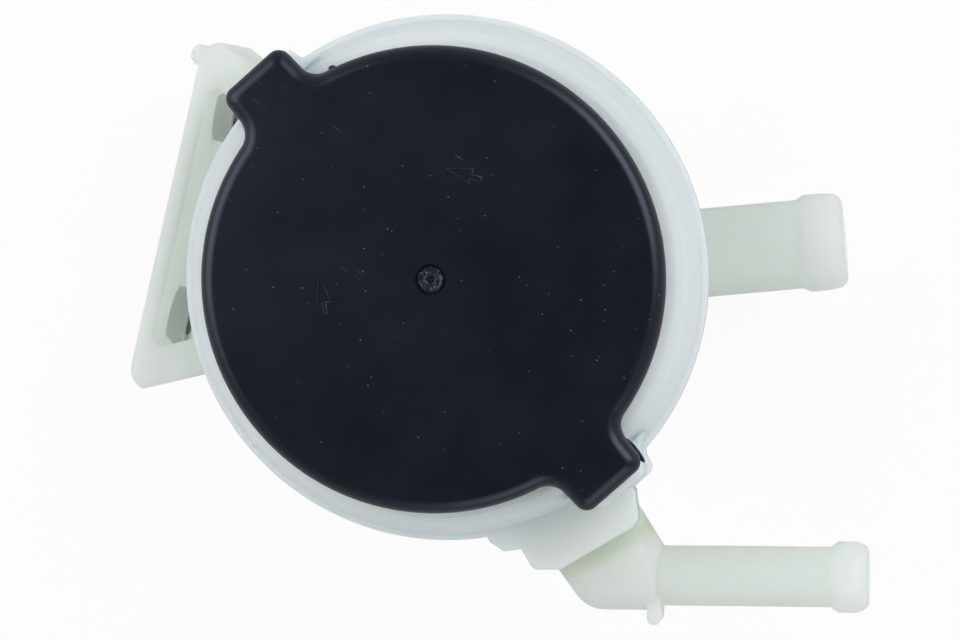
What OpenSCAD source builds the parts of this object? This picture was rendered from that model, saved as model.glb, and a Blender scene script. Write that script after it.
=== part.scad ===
// Power steering reservoir: a two-piece translucent tank with a quarter-turn
// cap, one large and one small hose spigot, a return filter and a bolt bracket.
// Frame: +X towards the spigots, +Z up through the cap, origin on the tank's
// axis at its flat base.  All sizes in millimetres.

/* [Cap] */
// height of the cap's flat top above the deck
cap_h = 13; // [12.5:0.1:14]
// thickness of the cap's top wall
cap_top_t = 2.6; // [2.2:0.1:2.8]
// thickness of the cap's skirt and lug walls
cap_wall = 2.4; // [2:0.1:2.4]
// radius of the rolled edge round the cap's top
cap_edge_r = 3; // [1.5:0.1:3.4]
// how far a hand lug stands out from the round cap
lug_out = 9.2; // [6.5:0.1:9.5]
// half the width of a hand lug at its end
lug_half_w = 8; // [6.5:0.1:8.5]
// corner radius at a lug's end
lug_corner_r = 2.4; // [1:0.1:3]
// radius of the hollow where a lug meets the round cap
lug_root_r = 4.5; // [2:0.1:6]
// direction of the first hand lug, anticlockwise from +X
lug_angle = 131.4; // [128:0.2:134]
// radius of the round gate well in the middle of the top
gate_r = 3.2; // [2:0.1:4]

/* [Cap lock] */
// turn that frees the cap, in degrees
lock_turn = 50; // [46:1:50]
// height that the cap gains over that turn
lock_rise = 1.5; // [0.5:0.1:1.6]
// width of each hook inside the skirt, in degrees
hook_span = 16; // [8:1:18]
// how far each hook stands in from the skirt
hook_depth = 1.5; // [1.2:0.1:1.7]

/* [Upper housing] */
// height of the deck, which the cap closes down to, above the weld line
deck_h = 14.5; // [13.5:0.1:16]
// outer radius of the filler neck, which the cap, the flange and the bowl follow
neck_r = 42; // [38:0.5:46]
// wall thickness of the filler neck
neck_wall = 2.4; // [2:0.1:2.6]
// how far the weld flange stands out from the cap's skirt
flange_out = 7.3; // [6.8:0.1:8]
// height of the weld line between the two housings
weld_z = 56.5; // [54:0.5:62]
// how far an ear stands out past the end of its lug
ear_out = 1.3; // [0.2:0.1:2]
// wall thickness of the upper housing
upper_wall = 2.4; // [2:0.1:2.6]

/* [Lower housing] */
// how far the weld flange stands out from the bowl
bowl_in = 4.6; // [4.2:0.1:5]
// how much narrower the bowl is at its base than under the flange
bowl_draft = 2.2; // [1.7:0.1:3]
// wall thickness of the bowl
bowl_wall = 2.4; // [2:0.1:2.6]
// thickness of the bowl's floor
floor_t = 2.8; // [2:0.1:3.5]

/* [Large spigot] */
// direction of the large spigot, anticlockwise from +X
large_angle = 5.3; // [3:0.1:8]
// height of the large spigot's axis
large_z = 26; // [24:0.1:27]
// radius of the large spigot's neck
large_neck_r = 9.5; // [9.2:0.05:9.6]
// radius of the large spigot's hose bead
large_bead_r = 10.4; // [10.2:0.05:10.6]
// radius of the large spigot's bore
large_bore_r = 7.6; // [7:0.1:7.8]
// length of the large spigot from the weld flange's edge to its mouth
large_length = 27.2; // [23:0.5:31]

/* [Small spigot] */
// distance of the small spigot's axis in front of the weld flange
small_out = 8.25; // [7.2:0.05:9]
// how far the small spigot's axis lies under the weld line
small_drop = 12.5; // [12:0.1:13.5]
// radius of the small spigot's neck
small_neck_r = 6.35; // [6.1:0.05:6.5]
// radius of the small spigot's hose bead
small_bead_r = 7.5; // [7.3:0.05:7.7]
// radius of the small spigot's bore
small_bore_r = 4.8; // [4.2:0.1:5]
// length of the small spigot from the elbow's bend to its mouth
small_length = 54.1; // [50:0.1:57]
// direction of the duct from the bowl to the elbow
duct_angle = -62; // [-64:0.5:-60]

/* [Bracket] */
// how far the bracket's outer face stands out from the weld flange
bracket_out = 7.8; // [6.2:0.1:10]
// direction of the bracket's outward normal, anticlockwise from +X
bracket_angle = 167.05; // [165:0.05:169]
// width of the bracket plate
bracket_w = 75.6; // [73:0.1:78]
// height of the bracket plate's lower edge
bracket_z0 = 12; // [9:0.5:15]
// how far the bracket plate's upper edge lies under the weld line
bracket_drop = 6.5; // [4.5:0.5:11]
// spacing of the two bolt holes
bolt_spacing = 46; // [42:0.5:48]
// radius of each bolt hole, in its metal sleeve
bolt_r = 3.3; // [3.1:0.1:3.5]

/* [Hidden] */

eps = 0.02;

// radii from the neck outwards: lock ramps, skirt, cap, deck, flange and bowl
ramp_w = 2.1;
ramp_r = neck_r + ramp_w;
skirt_gap = 0.5;
skirt_in_r = ramp_r + skirt_gap;
skirt_t = 2.9;
cap_r = skirt_in_r + skirt_t;
deck_r = cap_r + 1.7;
shoulder_r = deck_r + 2.2;
flange_r = cap_r + flange_out;
neck_bore_r = neck_r - neck_wall;
bowl_top_r = flange_r - bowl_in;
bowl_base_r = bowl_top_r - bowl_draft;

// cap heights and lugs
deck_z = weld_z + deck_h;
cap_top_z = deck_z + cap_h;
cap_under_z = cap_top_z - cap_top_t;
skirt_z = deck_z + 1;
lug_reach = cap_r + lug_out;
gate_depth = 0.8;
arrow_h = 0.25;
arrow_line = 0.45;

// a lug's flank narrows towards its end; its line's distance from the axis
lug_taper = 3;
lug_flank = lug_reach * sin(lug_taper) + lug_half_w * cos(lug_taper);

// gasket between the neck's rim and the cap
gasket_t = 1.8;
rim_z = cap_under_z - gasket_t;
gasket_in_r = neck_bore_r + 0.1;
gasket_out_r = neck_r + 0.6;
fence_r = gasket_out_r + 0.2;

// plug ring that centres the cap in the neck, and the splash baffle in it
plug_r = neck_bore_r - 0.5;
plug_in_r = plug_r - 1.8;
plug_z = cap_under_z - 6;
baffle_r = plug_in_r - 0.1;
baffle_z = plug_z + 0.6;
baffle_t = 1.4;
baffle_rim_t = 2;
baffle_notch_w = 6;
baffle_hole_r = 2.5;
baffle_hole_in = 15.2;
baffle_notch_h = 2.2;

// lock ramps outside the neck and hooks inside the skirt
lock_count = 4;
lock_start = 20;
ramp_span = 44;
ramp_t = 2.2;
ramp_steps = 10;
hook_z = skirt_z + 0.6;
hook_t = 1.8;
hook_start = 5;
stop_span = 4;
lock_gap = 0.3;
ramp_z = hook_z + hook_t + lock_gap - lock_rise * hook_start / lock_turn;

// upper housing
deck_t = 2.4;
flange_t = 3.4;
ear_reach = lug_reach + ear_out;
ear_top_z = deck_z - 1.6;
ear_half_w = 6.2;
ear_flare_r = 5;
ear_root = shoulder_r;
ear_corner_r = 2;
ear_wall = 2.2;
ear_lip = 0.6;

// bowl
foot_round = 3;
bowl_lip_z = weld_z - 3;
level_low_z = 24;
level_high_z = weld_z - 8.5;
level_angle = -118;
level_span = 16;

// filter seat
filter_z = weld_z - small_drop - 7.8;
filter_r = bowl_base_r - 1.6;
filter_ring_w = 2.4;
filter_ring_h = 3;
filter_hub_r = 7;
filter_spokes = 6;
spoke_w = 2;
spoke_h = 1.6;
spoke_lift = 1;
mesh_t = 0.4;
seat_in = 1.6;
seat_w = 2.2;
seat_angles = [35, 95, 140, 200, 245, 275];

// hose ends
bead_ramp = 1.6;
bead_flat = 3.6;
large_bead_l = 9.6;
small_bead_l = 8;
large_reach = flange_r + large_length;
root_r = 11.4;
root_out = 0.5;

// elbow block, where the duct from the bowl turns into the small spigot, and its fin
small_y = flange_r + small_out;
small_z = weld_z - small_drop;
elbow_u = small_y / sin(-duct_angle);
elbow_x = elbow_u * cos(duct_angle);
small_reach = elbow_x + small_length;
block_r = 7.35;
block_left = 1.5;
block_right = 5.5;
duct_half = 3.7;
duct_bore_r = 5.6;
duct_in = 4.2;
duct_l = 8;
fin_h = 10;
fin_x = elbow_x + 9.2;
fin_t = 2.9;
fin_out = 10.15;

// corners of the weld flange's lobe over the duct, [out from the flange's edge, across]
lobe = [[-9.6, -17.2], [-1.9, -17.7], [1.3, -16.0], [2.6, -12.5], [6.6, -12.3],
    [7.8, -11.8], [10.1, -7.3], [10.0, -3.9], [9.3, 10.3], [8.4, 12.0],
    [2.8, 14.2], [-4.3, 13.9]];

// bracket, in its own frame: x along the outward normal
bracket_reach = flange_r + bracket_out;
bracket_v = 0.5;
bracket_z1 = weld_z - bracket_drop;
bracket_taper = 9.6;
pocket_side = 11.4;
plate_t = 3.4;
plate_corner_r = 4.6;
bracket_mid_z = (bracket_z0 + bracket_z1) / 2;
shelf_t = 2.6;
sleeve_r = 4.6;
sleeve_gap = 0.05;
boss_r = 6.8;
boss_depth = 7;
peg_v = bracket_v - bracket_w / 2 + 3.6;
peg_r = 2.2;
peg_h = 2.3;
peg_z = bracket_z1 - peg_r - 0.4;

color_cap = [0.055, 0.06, 0.075];
color_rubber = [0.09, 0.09, 0.09];
color_upper = [0.84, 0.89, 0.90];
color_lower = [0.87, 0.88, 0.80];
color_white = [0.86, 0.86, 0.82];
color_mesh = [0.72, 0.70, 0.62];
color_steel = [0.66, 0.67, 0.68];

// points of one arc, from angle a0 to a1 about centre c
function arc(c, r, a0, a1, n) =
    [for (i = [0 : n]) c + r * [cos(a0 + (a1 - a0) * i / n), sin(a0 + (a1 - a0) * i / n)]];

function turned(p, a) = [p[0] * cos(a) - p[1] * sin(a), p[0] * sin(a) + p[1] * cos(a)];

// The cap's outline round a lug that points along +X, moved inwards by d.
// The round cap, the root hollows, the flanks and the corners meet tangentially,
// so each arc keeps its angles while d changes and only its radius grows or shrinks.
function lug_root_c() =
    let (
        a = lug_flank + lug_root_r,
        b = sqrt(pow(cap_r + lug_root_r, 2) - a * a)
    )
    [a * sin(lug_taper) + b * cos(lug_taper), a * cos(lug_taper) - b * sin(lug_taper)];
function lug_corner_c(d, r) =
    let (u = lug_reach - d - r)
    [u, (lug_flank - d - r - u * sin(lug_taper)) / cos(lug_taper)];
function lug_side(d) =
    let (
        root = lug_root_c(),
        turn = atan2(root[1], root[0]),
        r = max(lug_corner_r - d, 0.12)
    )
    concat(
        arc(lug_corner_c(d, r), r, 0, 90 - lug_taper, 5),
        arc(root, lug_root_r + d, 270 - lug_taper, 180 + turn, 7),
        arc([0, 0], cap_r - d, turn + 2.5, 90 - 2.5, 22)
    );
function cap_outline(d) =
    concat(
        [for (p = both_sides(lug_side(d))) turned(p, lug_angle)],
        [for (p = both_sides(lug_side(d))) turned(p, lug_angle + 180)]
    );

// outline made of half of one and its mirror image across the X axis
function both_sides(half) =
    concat([for (i = [len(half) - 1 : -1 : 0]) [half[i][0], -half[i][1]]], half);

// a solid skinned through a stack of equal-length outlines, each [height, points]
module skin(stack) {
    n = len(stack[0][1]);
    m = len(stack);
    points = [for (s = stack) for (p = s[1]) [p[0], p[1], s[0]]];
    sides = [for (k = [0 : m - 2]) for (i = [0 : n - 1])
        [k * n + i, (k + 1) * n + i, (k + 1) * n + (i + 1) % n, k * n + (i + 1) % n]];
    base = [for (i = [0 : n - 1]) i];
    lid = [for (i = [n - 1 : -1 : 0]) (m - 1) * n + i];
    polyhedron(points, concat([base], sides, [lid]));
}

// a sector of a ring whose under and upper sides climb with the angle
module climbing_sector(r0, r1, a0, span, z0, climb, t, steps) {
    rows = [for (i = [0 : steps])
        let (z = z0 + climb * i / steps)
        [a0 + span * i / steps, [[r0, z], [r1, z], [r1, z + t], [r0, z + t]]]];
    points = [for (row = rows) for (p = row[1]) [p[0] * cos(row[0]), p[0] * sin(row[0]), p[1]]];
    sides = [for (i = [0 : steps - 1]) for (k = [0 : 3])
        [4 * i + k, 4 * i + (k + 1) % 4, 4 * i + 4 + (k + 1) % 4, 4 * i + 4 + k]];
    ends = [[3, 2, 1, 0], [4 * steps, 4 * steps + 1, 4 * steps + 2, 4 * steps + 3]];
    polyhedron(points, concat(ends, sides));
}

// a plain round ring, and a flat sector of one
module ring(r0, r1, z0, z1) {
    rotate_extrude($fn = 144) translate([r0, z0]) square([r1 - r0, z1 - z0]);
}
module sector(r0, r1, a0, span, z0, z1) {
    rotate([0, 0, a0]) rotate_extrude(angle = span, $fn = 144)
        translate([r0, z0]) square([r1 - r0, z1 - z0]);
}

// hollow arrow that points along the direction a, with its tip at the given point
module arrow(tip, a) {
    translate([tip[0], tip[1], cap_top_z - eps]) rotate([0, 0, a])
        linear_extrude(arrow_h + eps) {
            difference() {
                polygon([[0, 0], [-5.2, 1.6], [-5.2, -1.6]]);
                polygon([[-1.7, 0], [-4.75, 0.95], [-4.75, -0.95]]);
            }
            translate([-7.3, 0.35]) square([2.2, arrow_line]);
            translate([-7.3, -0.35 - arrow_line]) square([2.2, arrow_line]);
            translate([-7.3 - arrow_line, -0.35 - arrow_line])
                square([arrow_line, 0.7 + 2 * arrow_line]);
        }
}

// plan of the pocket in a lug, outside the skirt's wall
module lug_pocket() {
    r = max(lug_corner_r - cap_wall, 0.12);
    a = lug_flank - cap_wall;
    b = sqrt(pow(cap_r - 0.4, 2) - a * a);
    turn = atan2(a * cos(lug_taper) - b * sin(lug_taper), a * sin(lug_taper) + b * cos(lug_taper));
    corner = arc(lug_corner_c(cap_wall, r), r, 0, 90 - lug_taper, 3);
    polygon(both_sides(concat(corner, arc([0, 0], cap_r - 0.4, turn, 0.5, 6))));
}

module cap() {
    edge_z = cap_top_z - cap_edge_r;
    color(color_cap) {
        difference() {
            skin(concat(
                [[skirt_z - 1, cap_outline(0)]],
                [for (a = [0 : 15 : 90])
                    [edge_z + cap_edge_r * sin(a), cap_outline(cap_edge_r * (1 - cos(a)))]],
                [[cap_top_z + 1, cap_outline(cap_edge_r)]]
            ));
            // flat lower edge and flat top
            translate([0, 0, skirt_z - 5]) cylinder(r = lug_reach + 10, h = 5);
            translate([0, 0, cap_top_z]) cylinder(r = lug_reach + 10, h = 5);
            // turned hollow; the fence round the gasket and the plug ring stand in it
            rotate_extrude($fn = 144) polygon([
                [0, skirt_z - 2], [skirt_in_r, skirt_z - 2], [skirt_in_r, cap_under_z],
                [fence_r + 0.8, cap_under_z], [fence_r + 0.8, cap_under_z - 1],
                [fence_r, cap_under_z - 1], [fence_r, cap_under_z], [plug_r, cap_under_z],
                [plug_r, plug_z], [plug_in_r, plug_z], [plug_in_r, cap_under_z], [0, cap_under_z]
            ]);
            for (a = [lug_angle, lug_angle + 180]) rotate([0, 0, a])
                translate([0, 0, skirt_z - 2]) linear_extrude(cap_under_z - skirt_z + 2)
                    lug_pocket();
            translate([0, 0, cap_top_z - gate_depth]) cylinder(r = gate_r, h = 2, $fn = 48);
        }
        // trimmed gate in the well
        translate([0, 0, cap_top_z - gate_depth - eps]) cylinder(r = gate_r - 1, h = 0.4, $fn = 32);
        translate([0, 0, cap_top_z - gate_depth]) cylinder(r = 0.8, h = 0.75, $fn = 24);
        for (i = [0 : lock_count - 1])
            sector(skirt_in_r - hook_depth, skirt_in_r + 1,
                lock_start + hook_start + i * 360 / lock_count, hook_span, hook_z, hook_z + hook_t);
        arrow([3.4, 22.6], 162);
        arrow([-22.8, 0.4], 100);
    }
}

module cap_gasket() {
    color(color_rubber) ring(gasket_in_r, gasket_out_r, rim_z, cap_under_z);
}

// disc that keeps splashing fluid off the vent; its notched rim snaps into the plug ring
module splash_baffle() {
    color(color_white) difference() {
        union() {
            translate([0, 0, baffle_z]) cylinder(r = baffle_r, h = baffle_t, $fn = 96);
            ring(baffle_r - baffle_rim_t, baffle_r, baffle_z, cap_under_z);
        }
        for (a = [45 : 90 : 315]) rotate([0, 0, a])
            translate([baffle_r - 5, -baffle_notch_w / 2, cap_under_z - baffle_notch_h])
                cube([8, baffle_notch_w, 4]);
        translate([baffle_r - baffle_hole_in, 0, baffle_z - 1])
            cylinder(r = baffle_hole_r, h = 4, $fn = 32);
    }
}

// plan of an ear under a hand lug, widening into the wall; d moves it inwards
module ear_plan(d) {
    e = ear_reach - d;
    w = ear_half_w - d;
    corner = arc([e - ear_corner_r, w - ear_corner_r], ear_corner_r, 0, 80, 4);
    flare = arc([flange_r + ear_flare_r / 2, w + ear_flare_r], ear_flare_r, 260, 212, 5);
    polygon(both_sides(concat(corner, flare, [[ear_root, w + ear_flare_r]])));
}

module at_ears() {
    for (a = [lug_angle, lug_angle + 180]) rotate([0, 0, a]) children();
}

module lobe_plan() {
    polygon([for (p = lobe) turned([flange_r + p[0], p[1]], duct_angle)]);
}

module upper_housing() {
    shell_z = deck_z - deck_t;
    color(color_upper) {
        difference() {
            union() {
                rotate_extrude($fn = 144) polygon([
                    [0, rim_z], [neck_r, rim_z], [neck_r, deck_z], [deck_r, deck_z],
                    [shoulder_r - 0.5, deck_z - 1.5], [shoulder_r, deck_z - 2.4],
                    [flange_r - 1.3, weld_z + flange_t + 1], [flange_r - 1.3, weld_z + 1],
                    [0, weld_z + 1]
                ]);
                at_ears() translate([0, 0, weld_z + 1])
                    linear_extrude(ear_top_z - weld_z - 1) ear_plan(0);
                // weld flange, which widens under the ears and over the duct
                translate([0, 0, weld_z]) linear_extrude(flange_t) {
                    circle(r = flange_r, $fn = 144);
                    at_ears() ear_plan(-ear_lip);
                    lobe_plan();
                }
            }
            // one hollow from below, with the neck's bore above it and a pocket in each ear
            rotate_extrude($fn = 144) polygon([
                [0, weld_z - 1], [flange_r - 4, weld_z - 1],
                [flange_r - 1.5 - upper_wall, weld_z + flange_t + 1],
                [shoulder_r - upper_wall, shell_z], [neck_bore_r, shell_z],
                [neck_bore_r, rim_z - 0.4], [neck_bore_r + 0.8, rim_z + 0.4], [0, rim_z + 0.4]
            ]);
            at_ears() translate([0, 0, weld_z - 1])
                linear_extrude(ear_top_z - ear_wall - weld_z + 1) ear_plan(ear_wall);
        }
        for (i = [0 : lock_count - 1]) {
            a = lock_start + i * 360 / lock_count;
            climbing_sector(neck_r - 0.6, ramp_r, a, ramp_span, ramp_z,
                lock_rise * ramp_span / lock_turn, ramp_t, ramp_steps);
            sector(neck_r - 1, ramp_r - 0.4, a + 0.4, stop_span, deck_z - 0.4, ramp_z + 0.8);
        }
    }
}

// hose end along +X: neck, then a bead with a ramped back and a rounded nose
module hose_end(neck, bead, x0, x1, bead_l) {
    rotate([0, 90, 0]) rotate_extrude($fn = 72) polygon([
        [0, x0], [neck, x0], [neck, x1 - bead_l], [bead, x1 - bead_l + bead_ramp],
        [bead, x1 - bead_l + bead_ramp + bead_flat], [bead - 0.3, x1 - 1.6],
        [bead - 1, x1 - 0.4], [bead - 1.8, x1], [0, x1]
    ]);
}

module bowl_solid() {
    rotate_extrude($fn = 144) polygon(concat(
        [[0, 0]],
        arc([bowl_base_r - foot_round, foot_round], foot_round, 270, 360, 5),
        [[bowl_top_r, bowl_lip_z + 1], [0, bowl_lip_z + 1]]
    ));
}

module bowl_hollow() {
    rotate_extrude($fn = 144) polygon(concat(
        [[0, floor_t]],
        arc([bowl_base_r - bowl_wall - 2, floor_t + 2], 2, 270, 360, 4),
        [[bowl_top_r - bowl_wall, bowl_lip_z - 1.2], [bowl_top_r - bowl_wall, weld_z + 1],
            [0, weld_z + 1]]
    ));
}

module small_x() {
    translate([0, -small_y, small_z]) children();
}

// block in which the radial duct turns into the small spigot
module elbow_block() {
    y = -small_y;
    hull($fn = 32) {
        translate([elbow_x - block_left, y, small_z]) sphere(r = block_r);
        translate([elbow_x + block_right, y, small_z]) rotate([0, 90, 0]) cylinder(r = block_r, h = 4);
        rotate([0, 0, duct_angle]) {
            for (v = [1.2 - duct_half, duct_half]) translate([bowl_top_r - duct_in, v, small_z])
                rotate([0, 90, 0]) cylinder(r = block_r, h = duct_l);
            translate([bowl_top_r - duct_in, 1.8 - block_r - duct_half, small_z])
                cube([duct_l + 4, 2 * (block_r + duct_half) - 2.4, bowl_lip_z - small_z + 1]);
        }
        translate([elbow_x + block_right + 4.4, y + block_r - 1.5, small_z - 4])
            cylinder(r = 0.8, h = 8);
    }
    small_x() hose_end(small_neck_r, small_bead_r, elbow_x + block_right, small_reach, small_bead_l);
}

module bracket_plan() {
    corner = arc([bracket_reach - plate_corner_r, bracket_w / 2 - plate_corner_r],
        plate_corner_r, 0, 76, 7);
    translate([0, bracket_v]) polygon(both_sides(concat(corner,
        [[bowl_base_r - 8, bracket_w / 2 - bracket_taper]])));
}

module pocket_plan() {
    x = bracket_reach - plate_t;
    v = bracket_w / 2 - pocket_side;
    translate([0, bracket_v])
        polygon(both_sides([[x, v], [x - 2, v + 1.6], [bowl_base_r - 18, v - 12]]));
}

module bracket_solid() {
    rotate([0, 0, bracket_angle]) {
        difference() {
            translate([0, 0, bracket_z0]) linear_extrude(bracket_z1 - bracket_z0)
                bracket_plan();
            translate([0, 0, bracket_z0 + shelf_t]) linear_extrude(bracket_z1)
                pocket_plan();
        }
        for (v = [-bolt_spacing / 2, bolt_spacing / 2])
            translate([bracket_reach - boss_depth, v, bracket_mid_z])
                rotate([0, 90, 0]) cylinder(r = boss_r, h = boss_depth, $fn = 48);
        translate([bracket_reach - 2, peg_v, peg_z]) rotate([0, 90, 0]) {
            cylinder(r = peg_r, h = 2 + peg_h - 1, $fn = 32);
            translate([0, 0, 1 + peg_h]) cylinder(r1 = peg_r, r2 = peg_r - 1, h = 1, $fn = 32);
        }
    }
}

module lower_housing() {
    color(color_lower) {
        difference() {
            union() {
                bowl_solid();
                bracket_solid();
                translate([0, 0, bowl_lip_z]) linear_extrude(weld_z - bowl_lip_z) {
                    circle(r = flange_r - ear_lip, $fn = 144);
                    at_ears() ear_plan(ear_lip);
                    lobe_plan();
                }
                rotate([0, 0, large_angle]) translate([0, 0, large_z]) {
                    hose_end(large_neck_r, large_bead_r, bowl_base_r - 8, large_reach, large_bead_l);
                    rotate([0, 90, 0]) translate([0, 0, bowl_base_r - 8])
                        cylinder(r = root_r, h = 8 + bowl_draft + root_out, $fn = 72);
                }
                elbow_block();
                translate([0, 0, small_z - fin_h / 2]) linear_extrude(fin_h) polygon(concat(
                    [[fin_x - fin_t / 2, 3 - small_y]],
                    arc([fin_x, fin_t / 2 - small_y - fin_out], fin_t / 2, 180, 360, 8),
                    [[fin_x + fin_t / 2, 3 - small_y]]
                ));
                // plain level marks on the outside of the bowl
                for (z = [level_low_z, level_high_z]) {
                    r = bowl_base_r + (bowl_top_r - bowl_base_r) * z / bowl_lip_z;
                    sector(r - 1, r + 0.5, level_angle, level_span, z, z + 1);
                }
            }
            bowl_hollow();
            rotate([0, 0, large_angle]) translate([bowl_base_r - 8, 0, large_z]) rotate([0, 90, 0])
                cylinder(r = large_bore_r, h = large_reach, $fn = 72);
            small_x() translate([elbow_x - 2, 0, 0]) rotate([0, 90, 0])
                cylinder(r = small_bore_r, h = small_reach, $fn = 48);
            rotate([0, 0, duct_angle]) translate([bowl_base_r - 8, 0, small_z]) rotate([0, 90, 0])
                cylinder(r = duct_bore_r, h = elbow_u - bowl_base_r + 9, $fn = 48);
            rotate([0, 0, bracket_angle])
                for (v = [-bolt_spacing / 2, bolt_spacing / 2])
                    translate([bracket_reach - boss_depth - 1, v, bracket_mid_z])
                        rotate([0, 90, 0])
                            cylinder(r = sleeve_r + sleeve_gap, h = boss_depth + 3, $fn = 48);
        }
        // seats that carry the filter
        for (a = seat_angles) rotate([0, 0, a])
            translate([filter_r - seat_in, -seat_w / 2, floor_t - 0.5])
                cube([bowl_base_r - filter_r + seat_in - 0.4, seat_w, filter_z - floor_t + 0.5]);
    }
}

module filter_frame() {
    color(color_white) {
        ring(filter_r - filter_ring_w, filter_r, filter_z, filter_z + filter_ring_h);
        translate([0, 0, filter_z + spoke_lift]) cylinder(r = filter_hub_r, h = spoke_h, $fn = 48);
        for (i = [0 : filter_spokes - 1]) rotate([0, 0, 15 + i * 360 / filter_spokes])
            translate([filter_hub_r - 1, -spoke_w / 2, filter_z + spoke_lift])
                cube([filter_r - filter_hub_r - 1, spoke_w, spoke_h]);
    }
}

module filter_mesh() {
    color(color_mesh) translate([0, 0, filter_z + spoke_lift - mesh_t])
        cylinder(r = filter_r - filter_ring_w - 0.1, h = mesh_t, $fn = 96);
}

// steel sleeve that keeps a bolt from crushing the plastic
module sleeve(v) {
    color(color_steel) rotate([0, 0, bracket_angle])
        translate([bracket_reach - boss_depth, v, bracket_mid_z]) rotate([0, 90, 0])
            difference() {
                cylinder(r = sleeve_r, h = boss_depth, $fn = 48);
                translate([0, 0, -1]) cylinder(r = bolt_r, h = boss_depth + 2, $fn = 48);
            }
}

module sleeve_rear() {
    sleeve(-bolt_spacing / 2);
}

module sleeve_front() {
    sleeve(bolt_spacing / 2);
}

cap();
cap_gasket();
splash_baffle();
upper_housing();
lower_housing();
filter_frame();
filter_mesh();
sleeve_rear();
sleeve_front();
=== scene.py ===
import bpy, math
from mathutils import Matrix, Vector


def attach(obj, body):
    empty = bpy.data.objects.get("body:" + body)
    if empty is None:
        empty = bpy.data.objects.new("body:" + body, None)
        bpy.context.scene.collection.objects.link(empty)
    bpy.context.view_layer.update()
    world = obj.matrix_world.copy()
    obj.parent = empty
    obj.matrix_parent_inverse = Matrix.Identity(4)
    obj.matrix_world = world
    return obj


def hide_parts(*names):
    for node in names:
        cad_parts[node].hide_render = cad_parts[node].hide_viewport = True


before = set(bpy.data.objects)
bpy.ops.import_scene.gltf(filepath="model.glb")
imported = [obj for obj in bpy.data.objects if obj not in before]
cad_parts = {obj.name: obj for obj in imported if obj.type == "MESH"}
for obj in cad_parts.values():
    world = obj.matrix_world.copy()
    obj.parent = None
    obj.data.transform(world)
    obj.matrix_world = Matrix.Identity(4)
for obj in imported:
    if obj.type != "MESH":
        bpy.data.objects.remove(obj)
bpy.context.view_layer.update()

# Camera: straight above the cap, leaning a little towards the spigots, with
# the tank's rear at the top of the picture.
AIM = Vector((0.0098, -0.0082, 0.081))
LEAN = Vector((0.119, 0.0285, 0.9925)).normalized()
CAMERA_AWAY = 0.9
LENS_MM = 165.9
SENSOR_MM = 36
rightward = Vector((0, 1, 0)).cross(LEAN).normalized()
upward = LEAN.cross(rightward)
bpy.ops.object.camera_add(location=AIM + LEAN * CAMERA_AWAY)
camera = bpy.context.object
camera.matrix_world = Matrix((
    (rightward.x, upward.x, LEAN.x, camera.location.x),
    (rightward.y, upward.y, LEAN.y, camera.location.y),
    (rightward.z, upward.z, LEAN.z, camera.location.z),
    (0, 0, 0, 1)))
camera.data.sensor_width = SENSOR_MM
camera.data.lens = LENS_MM
bpy.context.scene.camera = camera

# Lower housing: the bowl, both spigots, the duct with its elbow and the bolt
# bracket, all one injection moulding. Its plastic has no pigment, so it is
# milky with a warm tone and light soaks into it.
LOWER_PALE = (0.89, 0.905, 0.91, 1)
LOWER_DEEP = (0.835, 0.86, 0.845, 1)
LOWER_GLOW = (0.89, 0.92, 0.88, 1)
# painted shade for the crease on the duct, and the even pale colour past it
CREASE_SHADE_OLIVE = (0.60, 0.66, 0.46, 1)
PAST_CREASE = (0.90, 0.92, 0.91, 1)
DUCT_TURN = 62


def new_material(name):
    """An empty material with its nodes, its links and its Principled shader."""
    finish = bpy.data.materials.new(name)
    finish.use_nodes = True
    tree = finish.node_tree
    return finish, tree.nodes, tree.links, tree.nodes["Principled BSDF"]


def node(nodes, kind, **values):
    """Adds a node, setting its sockets and its own properties by name."""
    made = nodes.new(kind)
    for key, value in values.items():
        if key in made.inputs:
            made.inputs[key].default_value = value
        else:
            setattr(made, key, value)
    return made


def spread(nodes, low, high, to_low=0.0, to_high=1.0, **values):
    """A Map Range node from low..high to to_low..to_high."""
    made = node(nodes, "ShaderNodeMapRange", **values)
    made.inputs["From Min"].default_value = low
    made.inputs["From Max"].default_value = high
    made.inputs["To Min"].default_value = to_low
    made.inputs["To Max"].default_value = to_high
    return made


# the grain that every moulded or plated surface here shares: slow blotches of
# colour, and a fine grain for the bump, both in the object's own metres
moulded_grain = bpy.data.node_groups.new("moulded_grain", "ShaderNodeTree")
for side, label, kind in (("INPUT", "Pale", "Color"), ("INPUT", "Deep", "Color"),
                          ("INPUT", "Blotch Size", "Float"), ("INPUT", "Grain Size", "Float"),
                          ("OUTPUT", "Color", "Color"), ("OUTPUT", "Blotch", "Float"),
                          ("OUTPUT", "Grain", "Float")):
    moulded_grain.interface.new_socket(label, in_out=side, socket_type="NodeSocket" + kind)
nodes, links = moulded_grain.nodes, moulded_grain.links
group_in = nodes.new("NodeGroupInput")
group_out = nodes.new("NodeGroupOutput")
place = nodes.new("ShaderNodeTexCoord")
blotch = node(nodes, "ShaderNodeTexNoise", Detail=3.0, Roughness=0.55)
fine = node(nodes, "ShaderNodeTexNoise", Detail=2.0, Roughness=0.6)
tint = node(nodes, "ShaderNodeMix", data_type="RGBA")
links.new(place.outputs["Object"], blotch.inputs["Vector"])
links.new(place.outputs["Object"], fine.inputs["Vector"])
links.new(group_in.outputs["Blotch Size"], blotch.inputs["Scale"])
links.new(group_in.outputs["Grain Size"], fine.inputs["Scale"])
links.new(blotch.outputs["Fac"], tint.inputs["Factor"])
links.new(group_in.outputs["Deep"], tint.inputs["A"])
links.new(group_in.outputs["Pale"], tint.inputs["B"])
links.new(tint.outputs["Result"], group_out.inputs["Color"])
links.new(blotch.outputs["Fac"], group_out.inputs["Blotch"])
links.new(fine.outputs["Fac"], group_out.inputs["Grain"])


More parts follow.
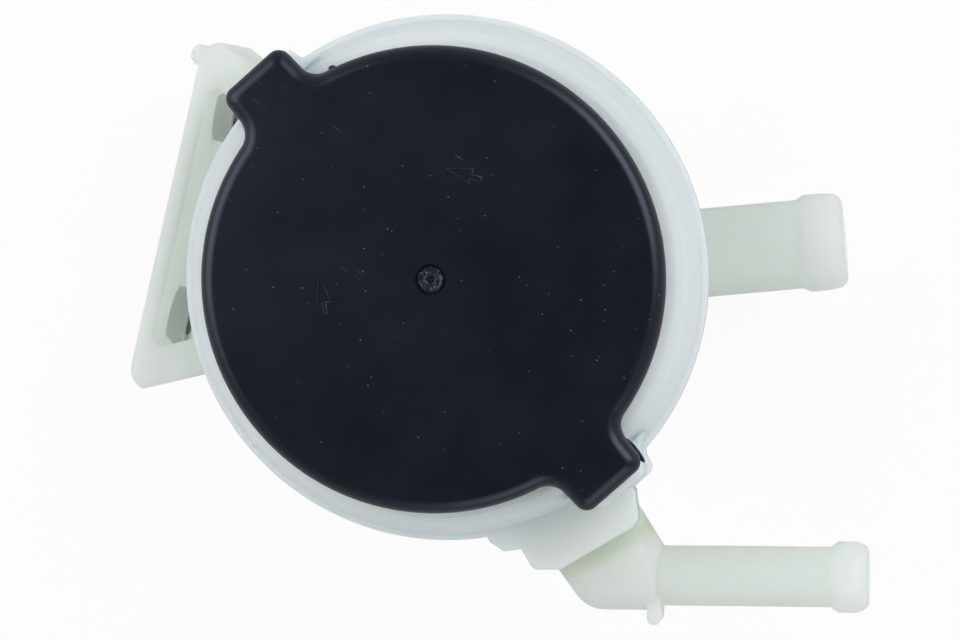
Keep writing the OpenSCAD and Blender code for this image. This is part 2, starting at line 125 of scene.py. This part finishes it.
def place_grain(nodes, pale, deep, blotch_size, grain_size):
    """Puts the shared grain into a material with its own colours and sizes."""
    made = nodes.new("ShaderNodeGroup")
    made.node_tree = moulded_grain
    made.inputs["Pale"].default_value = pale
    made.inputs["Deep"].default_value = deep
    made.inputs["Blotch Size"].default_value = blotch_size
    made.inputs["Grain Size"].default_value = grain_size
    return made


def milky_plastic(name, pale, deep, glow, blotch_size, soak, soak_depth, passes, soften):
    """Unpigmented plastic: light soaks into it and a share passes through."""
    finish, nodes, links, surface = new_material(name)
    grain = place_grain(nodes, pale, deep, blotch_size, grain_size=900)
    sheen = spread(nodes, 0, 1, to_low=0.34, to_high=0.5)
    soft_edge = node(nodes, "ShaderNodeBevel", Radius=soften)
    soft_edge.samples = 6
    skin_grain = node(nodes, "ShaderNodeBump", Strength=0.12, Distance=0.0001)
    lit_through = nodes.new("ShaderNodeBsdfTranslucent")
    lit_through.inputs["Color"].default_value = glow
    both = node(nodes, "ShaderNodeMixShader")
    both.inputs["Fac"].default_value = passes
    surface.inputs["Subsurface Weight"].default_value = 0.9
    surface.inputs["Subsurface Radius"].default_value = soak
    surface.inputs["Subsurface Scale"].default_value = soak_depth
    surface.inputs["IOR"].default_value = 1.49
    links.new(grain.outputs["Color"], surface.inputs["Base Color"])
    links.new(grain.outputs["Blotch"], sheen.inputs["Value"])
    links.new(sheen.outputs["Result"], surface.inputs["Roughness"])
    links.new(grain.outputs["Grain"], skin_grain.inputs["Height"])
    links.new(soft_edge.outputs["Normal"], skin_grain.inputs["Normal"])
    links.new(skin_grain.outputs["Normal"], surface.inputs["Normal"])
    links.new(surface.outputs["BSDF"], both.inputs[1])
    links.new(lit_through.outputs["BSDF"], both.inputs[2])
    links.new(both.outputs["Shader"], nodes["Material Output"].inputs["Surface"])
    return finish


def tint_along_duct(finish, color, near, far, strength):
    """Tints a plastic between two distances from the axis, along the duct."""
    nodes, links = finish.node_tree.nodes, finish.node_tree.links
    base = nodes["Principled BSDF"].inputs["Base Color"]
    place = nodes.new("ShaderNodeTexCoord")
    along = node(nodes, "ShaderNodeMapping")
    along.inputs["Rotation"].default_value = (0, 0, math.radians(DUCT_TURN))
    split = nodes.new("ShaderNodeSeparateXYZ")
    fade = spread(nodes, near, far, to_high=strength, interpolation_type="SMOOTHSTEP")
    tone = node(nodes, "ShaderNodeMix", data_type="RGBA")
    tone.inputs["B"].default_value = color
    links.new(base.links[0].from_socket, tone.inputs["A"])
    links.new(place.outputs["Object"], along.inputs["Vector"])
    links.new(along.outputs["Vector"], split.inputs["Vector"])
    links.new(split.outputs["X"], fade.inputs["Value"])
    links.new(fade.outputs["Result"], tone.inputs["Factor"])
    links.new(tone.outputs["Result"], base)


def dress(finish, *names):
    """Gives the carried-over CAD nodes of these names one material."""
    for name in names:
        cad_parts[name].material_slots[0].material = finish


lower_plastic = milky_plastic("lower_housing_plastic", LOWER_PALE, LOWER_DEEP, LOWER_GLOW,
                              blotch_size=22, soak=(1.0, 1.0, 0.85), soak_depth=0.006,
                              passes=0.58, soften=0.0026)
# painted shade: an olive band along the duct, just outside the weld flange's lobe, stands for the
# shade in the crease there; past it the duct is painted an even pale colour again
tint_along_duct(lower_plastic, CREASE_SHADE_OLIVE, near=0.0630, far=0.0650, strength=0.75)
tint_along_duct(lower_plastic, PAST_CREASE, near=0.0655, far=0.0695, strength=1.0)
dress(lower_plastic, "lower_housing")

# Bracket sleeves: two short steel tubes, zinc plated, pressed into the
# bracket's bolt holes so that the bolts don't crush the plastic.
ZINC_PALE = (0.62, 0.63, 0.65, 1)
ZINC_DEEP = (0.42, 0.43, 0.45, 1)
zinc, nodes, links, surface = new_material("sleeve_zinc")
grain = place_grain(nodes, ZINC_PALE, ZINC_DEEP, blotch_size=150, grain_size=2500)
links.new(grain.outputs["Color"], surface.inputs["Base Color"])
surface.inputs["Metallic"].default_value = 1.0
surface.inputs["Roughness"].default_value = 0.35
dress(zinc, "sleeve_rear", "sleeve_front")

# Filter frame: a spoked ring moulded from plain white plastic. It drops onto
# six seats in the bowl and holds the gauze.
FRAME_PALE = (0.80, 0.80, 0.75, 1)
FRAME_DEEP = (0.70, 0.70, 0.64, 1)
inner_white, nodes, links, surface = new_material("inner_white_plastic")
grain = place_grain(nodes, FRAME_PALE, FRAME_DEEP, blotch_size=40, grain_size=1200)
links.new(grain.outputs["Color"], surface.inputs["Base Color"])
surface.inputs["Roughness"].default_value = 0.5
dress(inner_white, "filter_frame")

# Filter gauze: fine plastic thread woven square and welded under the frame's
# spokes. The crossed weave is drawn by two sets of waves.
THREAD_PALE = (0.66, 0.64, 0.55, 1)
THREAD_GAP = (0.25, 0.24, 0.2, 1)
THREADS = 900.0
gauze, nodes, links, surface = new_material("filter_gauze")
place = nodes.new("ShaderNodeTexCoord")
warp = node(nodes, "ShaderNodeTexWave", Scale=THREADS)
weft = node(nodes, "ShaderNodeTexWave", Scale=THREADS, bands_direction="Y")
weave = node(nodes, "ShaderNodeMath", operation="MAXIMUM")
thread = node(nodes, "ShaderNodeMix", data_type="RGBA")
thread.inputs["A"].default_value = THREAD_GAP
thread.inputs["B"].default_value = THREAD_PALE
for wave in (warp, weft):
    links.new(place.outputs["Object"], wave.inputs["Vector"])
links.new(warp.outputs["Fac"], weave.inputs[0])
links.new(weft.outputs["Fac"], weave.inputs[1])
links.new(weave.outputs[0], thread.inputs["Factor"])
links.new(thread.outputs["Result"], surface.inputs["Base Color"])
surface.inputs["Roughness"].default_value = 0.6
dress(gauze, "filter_mesh")

# Upper housing: the deck with the filler neck, the ears under the cap's lugs
# and the weld flange. It is moulded from a bluish milky plastic and welded to
# the bowl, whose warmer tone shows through its lobe over the duct. The lobe's
# warm tint is also painted light: it lifts the lobe out of the ring's shade.
UPPER_PALE = (0.95, 0.985, 1.0, 1)
UPPER_DEEP = (0.90, 0.95, 0.98, 1)
UPPER_GLOW = (0.86, 0.97, 1.0, 1)
LOBE_WARM_AND_LIT = (0.96, 0.96, 0.90, 1)
upper_plastic = milky_plastic("upper_housing_plastic", UPPER_PALE, UPPER_DEEP, UPPER_GLOW,
                              blotch_size=18, soak=(0.9, 1.0, 1.0), soak_depth=0.004,
                              passes=0.40, soften=0.0012)
# partly painted light: the lobe is tinted warmer and redder against the shade of the ring above
tint_along_duct(upper_plastic, LOBE_WARM_AND_LIT, near=0.047, far=0.060, strength=1.0)
dress(upper_plastic, "upper_housing")

# Splash baffle: a notched disc of the same plain white plastic as the filter
# frame, snapped into the cap's plug ring to keep fluid off the vent.
dress(inner_white, "splash_baffle")

# Cap gasket: a flat ring punched from black rubber sheet. It lies between the
# neck's rim and the underside of the cap.
RUBBER_PALE = (0.03, 0.03, 0.03, 1)
RUBBER_DEEP = (0.015, 0.015, 0.015, 1)
rubber, nodes, links, surface = new_material("gasket_rubber")
grain = place_grain(nodes, RUBBER_PALE, RUBBER_DEEP, blotch_size=80, grain_size=1500)
links.new(grain.outputs["Color"], surface.inputs["Base Color"])
surface.inputs["Roughness"].default_value = 0.7
dress(rubber, "cap_gasket")

# Cap: one black moulding with two hand lugs and a rolled satin edge. The roll
# is wider than the lugs' corners are round, which a bevel can't follow, so
# the skin is laid through rings of the cap's outline at growing insets.
CAP_R = 0.0477
CAP_TOP = 0.084
CAP_FOOT = 0.072
CAP_EDGE = 0.003
EDGE_STEPS = 12
CAP_WALL = 0.0024
CAP_DRAFT = 0.0007
FOOT_BREAK = 0.0003
UPRIGHT_BAND = 0.001
UPRIGHT_DRAFT = 0.00002
LUG_REACH = 0.0567
LUG_HALF = 0.008
LUG_CORNER = 0.0026
LUG_ROOT = 0.0045
LUG_AT = 131.4
LUG_TAPER = 3
CORNER_SHRINK = 0.45
CORNER_STEPS = 8
ROOT_STEPS = 14
ROUND_STEPS = 60
HALF_GAP = 0.8
GATE_WELL_R = 0.0032
GATE_WELL_DEEP = 0.0008
CAP_BLACK_PALE = (0.0046, 0.0052, 0.0096, 1)
CAP_BLACK_DEEP = (0.0014, 0.0016, 0.0034, 1)
DUST = (0.20, 0.21, 0.23, 1)
SCUFF_TURN = -38
SCUFF_SIZE = (0.0090, 0.0007, 0.0100)
taper_s = math.sin(math.radians(LUG_TAPER))
taper_c = math.cos(math.radians(LUG_TAPER))
lug_flank = LUG_REACH * taper_s + LUG_HALF * taper_c


def bend(centre, r, a0, a1, count):
    """Points along an arc, angles in degrees."""
    steps = [math.radians(a0 + (a1 - a0) * i / count) for i in range(count + 1)]
    return [(centre[0] + r * math.cos(a), centre[1] + r * math.sin(a)) for a in steps]


def cap_outline(inset):
    """The cap's outline moved inwards: round cap, root hollows, lug flanks and
    lug corners, all tangent. One lug's side is mirrored, and both halves are
    turned to their places, with a small gap so that they share no point."""
    across = lug_flank + LUG_ROOT
    out = math.sqrt((CAP_R + LUG_ROOT) ** 2 - across * across)
    root = (across * taper_s + out * taper_c, across * taper_c - out * taper_s)
    meet = math.degrees(math.atan2(root[1], root[0]))
    corner_r = LUG_CORNER - CORNER_SHRINK * inset
    u = LUG_REACH - inset - corner_r
    corner = (u, (lug_flank - inset - corner_r - u * taper_s) / taper_c)
    side = bend(corner, corner_r, 0, 90 - LUG_TAPER, CORNER_STEPS)
    side += bend(root, LUG_ROOT + inset, 270 - LUG_TAPER, 180 + meet, ROOT_STEPS)
    side += bend((0, 0), CAP_R - inset, meet + 1, 90 - HALF_GAP, ROUND_STEPS)
    half = [(x, -y) for x, y in reversed(side)] + side
    whole = []
    for at in (LUG_AT, LUG_AT + 180):
        c, s = math.cos(math.radians(at)), math.sin(math.radians(at))
        whole += [(x * c - y * s, x * s + y * c) for x, y in half]
    return whole


def pick(piece):
    """Leaves one object selected and active."""
    bpy.ops.object.select_all(action="DESELECT")
    piece.select_set(True)
    bpy.context.view_layer.objects.active = piece


def face_out(piece):
    """Turns all the faces of a closed or open skin outwards."""
    pick(piece)
    bpy.ops.object.mode_set(mode="EDIT")
    bpy.ops.mesh.select_all(action="SELECT")
    bpy.ops.mesh.normals_make_consistent(inside=False)
    bpy.ops.object.mode_set(mode="OBJECT")


def smooth(piece, degrees):
    """Shades a piece smooth, and keeps the edges sharper than an angle."""
    pick(piece)
    bpy.ops.object.shade_smooth_by_angle(angle=math.radians(degrees))


edge_z = CAP_TOP - CAP_EDGE
rings = [(CAP_FOOT, cap_outline(CAP_DRAFT + FOOT_BREAK)),
         (CAP_FOOT + FOOT_BREAK, cap_outline(CAP_DRAFT)),
         (edge_z - UPRIGHT_BAND, cap_outline(UPRIGHT_DRAFT)),
         (edge_z, cap_outline(0))]
for step in range(1, EDGE_STEPS + 1):
    a = math.radians(90 * step / EDGE_STEPS)
    rings.append((edge_z + CAP_EDGE * math.sin(a), cap_outline(CAP_EDGE * (1 - math.cos(a)))))
around = len(rings[0][1])
verts = [(x, y, z) for z, ring in rings for x, y in ring]
faces = [tuple((len(rings) - 1) * around + i for i in range(around))]
for k in range(len(rings) - 1):
    for i in range(around):
        j = (i + 1) % around
        faces.append((k * around + i, k * around + j, (k + 1) * around + j, (k + 1) * around + i))
skin = bpy.data.meshes.new("cap_shell")
skin.from_pydata(verts, [], faces)
skin.update()
cap_shell = bpy.data.objects.new("cap_shell", skin)
bpy.context.collection.objects.link(cap_shell)
face_out(cap_shell)

# the skin gets its wall, then a plain cutter sinks the gate well into the top
bpy.ops.object.select_all(action="DESELECT")
bpy.ops.mesh.primitive_cylinder_add(vertices=64, radius=GATE_WELL_R, depth=2 * GATE_WELL_DEEP,
                                    location=(0, 0, CAP_TOP))
cutter = bpy.context.object
wall = cap_shell.modifiers.new("wall", "SOLIDIFY")
wall.thickness = CAP_WALL
wall.offset = -1
pick(cap_shell)
bpy.ops.object.modifier_apply(modifier="wall")
well = cap_shell.modifiers.new("well", "BOOLEAN")
well.operation = "DIFFERENCE"
well.object = cutter
bpy.ops.object.modifier_apply(modifier="well")
bpy.data.objects.remove(cutter)
smooth(cap_shell, 30)

# black moulded plastic: satin, faintly blue, with rare dust specks on what
# lies level and short pale scuffs where it was handled
cap_black, nodes, links, surface = new_material("cap_black_plastic")
grain = place_grain(nodes, CAP_BLACK_PALE, CAP_BLACK_DEEP, blotch_size=55, grain_size=1800)
place = nodes.new("ShaderNodeTexCoord")
facing = nodes.new("ShaderNodeNewGeometry")
facing_up = nodes.new("ShaderNodeSeparateXYZ")
level = spread(nodes, 0.5, 0.9)
dust = node(nodes, "ShaderNodeTexVoronoi", Scale=250.0, voronoi_dimensions="2D")
dust_spot = spread(nodes, 0.034, 0.016)
rare = node(nodes, "ShaderNodeTexNoise", Scale=420.0, Detail=1.0)
rare_cut = spread(nodes, 0.57, 0.66)
speck = node(nodes, "ShaderNodeMath", operation="MULTIPLY")
level_speck = node(nodes, "ShaderNodeMath", operation="MULTIPLY")
scuff_place = node(nodes, "ShaderNodeMapping", vector_type="TEXTURE")
scuff_place.inputs["Rotation"].default_value = (0, 0, math.radians(SCUFF_TURN))
scuff_place.inputs["Scale"].default_value = SCUFF_SIZE
scuff = node(nodes, "ShaderNodeTexNoise", Scale=1.0, Detail=2.0)
scuff_cut = spread(nodes, 0.70, 0.80)
scuff_where = spread(nodes, 0.55, 0.75)
scuff_mask = node(nodes, "ShaderNodeMath", operation="MULTIPLY")
marks = node(nodes, "ShaderNodeMath", operation="MAXIMUM")
paint = node(nodes, "ShaderNodeMix", data_type="RGBA")
paint.inputs["B"].default_value = DUST
links.new(place.outputs["Object"], dust.inputs["Vector"])
links.new(place.outputs["Object"], rare.inputs["Vector"])
links.new(place.outputs["Object"], scuff_place.inputs["Vector"])
links.new(facing.outputs["Normal"], facing_up.inputs["Vector"])
links.new(facing_up.outputs["Z"], level.inputs["Value"])
links.new(dust.outputs["Distance"], dust_spot.inputs["Value"])
links.new(rare.outputs["Fac"], rare_cut.inputs["Value"])
links.new(dust_spot.outputs["Result"], speck.inputs[0])
links.new(rare_cut.outputs["Result"], speck.inputs[1])
links.new(speck.outputs[0], level_speck.inputs[0])
links.new(level.outputs["Result"], level_speck.inputs[1])
links.new(scuff_place.outputs["Vector"], scuff.inputs["Vector"])
links.new(scuff.outputs["Fac"], scuff_cut.inputs["Value"])
links.new(grain.outputs["Blotch"], scuff_where.inputs["Value"])
links.new(scuff_cut.outputs["Result"], scuff_mask.inputs[0])
links.new(scuff_where.outputs["Result"], scuff_mask.inputs[1])
links.new(level_speck.outputs[0], marks.inputs[0])
links.new(scuff_mask.outputs[0], marks.inputs[1])
links.new(marks.outputs[0], paint.inputs["Factor"])
links.new(grain.outputs["Color"], paint.inputs["A"])
links.new(paint.outputs["Result"], surface.inputs["Base Color"])
satin = spread(nodes, 0, 1, to_low=0.28, to_high=0.40)
steep = spread(nodes, 0.70, 0.35, to_high=0.12)
dull = node(nodes, "ShaderNodeMath", operation="ADD")
links.new(grain.outputs["Blotch"], satin.inputs["Value"])
links.new(facing_up.outputs["Z"], steep.inputs["Value"])
links.new(satin.outputs["Result"], dull.inputs[0])
links.new(steep.outputs["Result"], dull.inputs[1])
links.new(dull.outputs[0], surface.inputs["Roughness"])
cap_grain = node(nodes, "ShaderNodeBump", Strength=0.18, Distance=0.00008)
links.new(grain.outputs["Grain"], cap_grain.inputs["Height"])
links.new(cap_grain.outputs["Normal"], surface.inputs["Normal"])
surface.inputs["IOR"].default_value = 1.46
surface.inputs["Specular Tint"].default_value = (0.70, 0.80, 1.0, 1)


def fit_to_cap(piece):
    """Makes a piece part of the cap's moulding: its plastic and body."""
    piece.data.materials.append(cap_black)
    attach(piece, "lid")


fit_to_cap(cap_shell)
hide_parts("cap")

# Inside of the cap: the plug ring that centres it in the neck and the fence
# round the gasket, both moulded with the cap. Each is drawn up from a circle.
UNDER_TOP = 0.0814
SUNK = 0.0002
PLUG_RING = ((0.0373, 0.0760), (0.0375, 0.0754), (0.0387, 0.0754), (0.0391, 0.0762),
             (0.0391, UNDER_TOP + SUNK), (0.0373, UNDER_TOP + SUNK))
FENCE = ((0.0428, 0.0805), (0.0430, 0.0804), (0.0434, 0.0804), (0.0436, 0.0805),
         (0.0436, UNDER_TOP + SUNK), (0.0428, UNDER_TOP + SUNK))
for name, outline in (("cap_plug_ring", PLUG_RING), ("cap_fence", FENCE)):
    r, z = outline[0]
    bpy.ops.object.select_all(action="DESELECT")
    bpy.ops.mesh.primitive_circle_add(vertices=128, radius=r, location=(0, 0, z))
    ring = bpy.context.object
    ring.name = name
    bpy.ops.object.transform_apply(location=True, rotation=True, scale=True)
    bpy.ops.object.mode_set(mode="EDIT")
    bpy.context.tool_settings.mesh_select_mode = (False, True, False)
    bpy.ops.mesh.select_all(action="SELECT")
    for next_r, next_z in outline[1:]:
        bpy.ops.mesh.extrude_edges_move(TRANSFORM_OT_translate={"value": (0, 0, next_z - z)})
        bpy.ops.transform.resize(value=(next_r / r, next_r / r, 1), center_override=(0, 0, 0))
        r, z = next_r, next_z
    bpy.ops.mesh.select_all(action="DESELECT")
    bpy.ops.mesh.select_non_manifold()
    bpy.ops.mesh.bridge_edge_loops()
    bpy.ops.object.mode_set(mode="OBJECT")
    face_out(ring)
    smooth(ring, 40)
    fit_to_cap(ring)

# Hooks: four short lips inside the cap's skirt that climb the neck's lock
# ramps. One section is chamfered and spun, and three copies are turned on.
HOOKS = 4
HOOK_FROM = 25
HOOK_SPAN = 16
HOOK_IN = 0.0431
HOOK_OUT = 0.0450
HOOK_FOOT = 0.0726
HOOK_HIGH = 0.0018
HOOK_BREAK = 0.0003
HOOK_STEPS = 10
hook_mid = (HOOK_IN + HOOK_OUT) / 2
hook_turn = math.radians(HOOK_FROM)
hook_place = (hook_mid * math.cos(hook_turn), hook_mid * math.sin(hook_turn),
              HOOK_FOOT + HOOK_HIGH / 2)
bpy.ops.object.select_all(action="DESELECT")
bpy.ops.mesh.primitive_plane_add(size=1, location=hook_place,
                                 rotation=(math.radians(90), 0, hook_turn))
hook = bpy.context.object
hook.name = "cap_hook_1"
hook.scale = (HOOK_OUT - HOOK_IN, HOOK_HIGH, 1)
bpy.ops.object.transform_apply(location=True, rotation=True, scale=True)
bpy.ops.object.mode_set(mode="EDIT")
bpy.context.tool_settings.mesh_select_mode = (True, False, False)
bpy.ops.mesh.select_all(action="DESELECT")
bpy.ops.object.mode_set(mode="OBJECT")
for v in hook.data.vertices:
    v.select = math.hypot(v.co.x, v.co.y) < hook_mid
bpy.ops.object.mode_set(mode="EDIT")
bpy.ops.mesh.bevel(offset=HOOK_BREAK, affect="VERTICES", segments=1)
bpy.ops.mesh.select_all(action="SELECT")
bpy.ops.mesh.spin(steps=HOOK_STEPS, angle=math.radians(HOOK_SPAN),
                  center=(0, 0, 0), axis=(0, 0, -1))
bpy.ops.object.mode_set(mode="OBJECT")
face_out(hook)
hooks = [hook]
for k in range(1, HOOKS):
    copy = bpy.data.objects.new("cap_hook_%d" % (k + 1), hook.data.copy())
    copy.data.transform(Matrix.Rotation(math.radians(360 * k / HOOKS), 4, "Z"))
    bpy.context.collection.objects.link(copy)
    hooks.append(copy)
for piece in hooks:
    smooth(piece, 40)
    fit_to_cap(piece)

# Flash: a nub and a thin sliver of plastic that the mould's split left on the
# skirt, squeezed out of a ball and drawn a little uneven in height.
FLASH_R = 0.0008
FLASH_Z = CAP_FOOT + 0.0030
FLASH_TALL = 1.5
FLASH_UNEVEN = 0.6
FLASH_WAVES = 4000
for name, at, turn, stretch in (("flash_nub_1", (-0.0214, 0.0431), 0, (1.1, 1.0, 1.0)),
                                ("flash_nub_2", (0.0410, -0.0349), -51.6, (3.9, 0.8, 0.8))):
    bpy.ops.object.select_all(action="DESELECT")
    bpy.ops.mesh.primitive_uv_sphere_add(segments=32, ring_count=16, radius=FLASH_R,
                                         location=(at[0], at[1], FLASH_Z),
                                         rotation=(0, 0, math.radians(turn)), scale=stretch)
    nub = bpy.context.object
    nub.name = name
    bpy.ops.object.transform_apply(location=True, rotation=True, scale=True)
    for v in nub.data.vertices:
        tall = FLASH_TALL + FLASH_UNEVEN * math.sin(v.co.x * FLASH_WAVES)
        v.co.z = FLASH_Z + (v.co.z - FLASH_Z) * tall
    smooth(nub, 60)
    fit_to_cap(nub)

# Gate: a disc in the well with a raised ring and a torn stub in the middle,
# left by the mould's gate when the runner was twisted off.
GATE_R = 0.0026
GATE_THICK = 0.0006
GATE_SUNK = 0.00062
GATE_STEPS = ((0.0003, 0.00012), (0.0003, -0.00018), (0.0004, 0.0), (0.0002, 0.0),
              (0.0003, 0.00022), (0.0003, -0.00022), (0.00015, 0.0), (0.0002, 0.00036))
TORN_FROM = 0.0011
TORN_TO = 0.0023
TORN_COARSE = 0.00011
TORN_FINE = 0.00005
bpy.ops.object.select_all(action="DESELECT")
bpy.ops.mesh.primitive_cylinder_add(vertices=72, radius=GATE_R, depth=GATE_THICK,
                                    location=(0, 0, CAP_TOP - GATE_SUNK))
gate = bpy.context.object
gate.name = "gate_stub"
bpy.ops.object.transform_apply(location=True, rotation=True, scale=True)
bpy.ops.object.mode_set(mode="EDIT")
bpy.ops.mesh.select_all(action="DESELECT")
bpy.ops.object.mode_set(mode="OBJECT")
for face in gate.data.polygons:
    face.select = face.normal.z > 0.9
bpy.ops.object.mode_set(mode="EDIT")
bpy.context.tool_settings.mesh_select_mode = (False, False, True)
for inwards, lift in GATE_STEPS:
    bpy.ops.mesh.inset(thickness=inwards)
    bpy.ops.transform.translate(value=(0, 0, lift))
bpy.ops.object.mode_set(mode="OBJECT")
for v in gate.data.vertices:
    r, a = math.hypot(v.co.x, v.co.y), math.atan2(v.co.y, v.co.x)
    if v.co.z > CAP_TOP - GATE_THICK and TORN_FROM < r < TORN_TO:
        v.co.z += TORN_COARSE * math.cos(5 * a + 0.6) + TORN_FINE * math.sin(9 * a)
smooth(gate, 50)
fit_to_cap(gate)

# Turning arrows: two raised hollow outlines moulded on the top, one for each
# way round. A thin rounded bead follows a wire of the arrow's seven corners.
BEAD_R = 0.00042
BEAD_Z = CAP_TOP - 0.00017
ARROW = ((0, 0), (-0.0052, 0.0015), (-0.0052, 0.0004), (-0.0074, 0.0004),
         (-0.0074, -0.0004), (-0.0052, -0.0004), (-0.0052, -0.0015))
for name, tip, heading in (("arrow_open", (0.0034, 0.0226), 162),
                           ("arrow_close", (-0.0228, 0.0004), 100)):
    wire = bpy.data.curves.new(name, "CURVE")
    wire.dimensions = "3D"
    wire.bevel_depth = BEAD_R
    wire.bevel_resolution = 3
    spline = wire.splines.new("POLY")
    spline.points.add(len(ARROW) - 1)
    c, s = math.cos(math.radians(heading)), math.sin(math.radians(heading))
    for point, (x, y) in zip(spline.points, ARROW):
        point.co = (tip[0] + x * c - y * s, tip[1] + x * s + y * c, BEAD_Z, 1)
    spline.use_cyclic_u = True
    arrow = bpy.data.objects.new(name, wire)
    bpy.context.collection.objects.link(arrow)
    pick(arrow)
    bpy.ops.object.convert(target="MESH")
    arrow = bpy.context.object
    smooth(arrow, 60)
    fit_to_cap(arrow)

# Floor: a plain pale sheet that reads as white in the picture and keeps a
# faint soft shadow under the tank.
FLOOR_SIZE = 4
FLOOR_DROP = 0.0002
FLOOR_GREY = (0.66, 0.66, 0.66, 1)
FLOOR_WHITENING = 0.93
bpy.ops.object.select_all(action="DESELECT")
bpy.ops.mesh.primitive_plane_add(size=FLOOR_SIZE, location=(0, 0, -FLOOR_DROP))
floor = bpy.context.object
floor.name = "floor"
floor_pale, nodes, links, surface = new_material("pale_floor")
surface.inputs["Base Color"].default_value = FLOOR_GREY
surface.inputs["Roughness"].default_value = 0.9
glow = node(nodes, "ShaderNodeEmission", Color=(1, 1, 1, 1), Strength=1.0)
seen = nodes.new("ShaderNodeLightPath")
either = node(nodes, "ShaderNodeMath", operation="MAXIMUM")
share = node(nodes, "ShaderNodeMath", operation="MULTIPLY")
share.inputs[1].default_value = FLOOR_WHITENING
blend = nodes.new("ShaderNodeMixShader")
links.new(seen.outputs["Is Camera Ray"], either.inputs[0])
links.new(seen.outputs["Is Transmission Ray"], either.inputs[1])
links.new(either.outputs[0], share.inputs[0])
links.new(share.outputs[0], blend.inputs["Fac"])
links.new(surface.outputs["BSDF"], blend.inputs[1])
links.new(glow.outputs["Emission"], blend.inputs[2])
links.new(blend.outputs["Shader"], nodes["Material Output"].inputs["Surface"])
floor.data.materials.append(floor_pale)

# Light: three square soft boxes aimed at the tank, from the rear right, the
# left and the front, in a dim room that is brighter towards the horizon.
# Each box is place, size and power.
LIT_POINT = Vector((0, 0, 0.05))
SOFT_BOXES = (((0.51, 0.35, 0.67), 0.60, 4.6),
              ((-0.62, 0.19, 0.62), 0.70, 4.4),
              ((0.26, -0.64, 0.60), 0.60, 2.0))
ROOM_WHITE = (0.94, 0.97, 1.0, 1)
for at, size, power in SOFT_BOXES:
    bpy.ops.object.light_add(type="AREA", location=at)
    lamp = bpy.context.object
    lamp.data.shape = "SQUARE"
    lamp.data.size = size
    lamp.data.energy = power
    lamp.rotation_euler = (Vector(at) - LIT_POINT).to_track_quat("Z", "Y").to_euler()
room = bpy.data.worlds.new("room")
room.use_nodes = True
nodes, links = room.node_tree.nodes, room.node_tree.links
nodes["Background"].inputs["Color"].default_value = ROOM_WHITE
place = nodes.new("ShaderNodeTexCoord")
split = nodes.new("ShaderNodeSeparateXYZ")
dimming = spread(nodes, 0.25, 0.95, to_low=0.75, to_high=0.08)
links.new(place.outputs["Generated"], split.inputs["Vector"])
links.new(split.outputs["Z"], dimming.inputs["Value"])
links.new(dimming.outputs["Result"], nodes["Background"].inputs["Strength"])
bpy.context.scene.world = room
bpy.context.scene.view_settings.view_transform = "Standard"
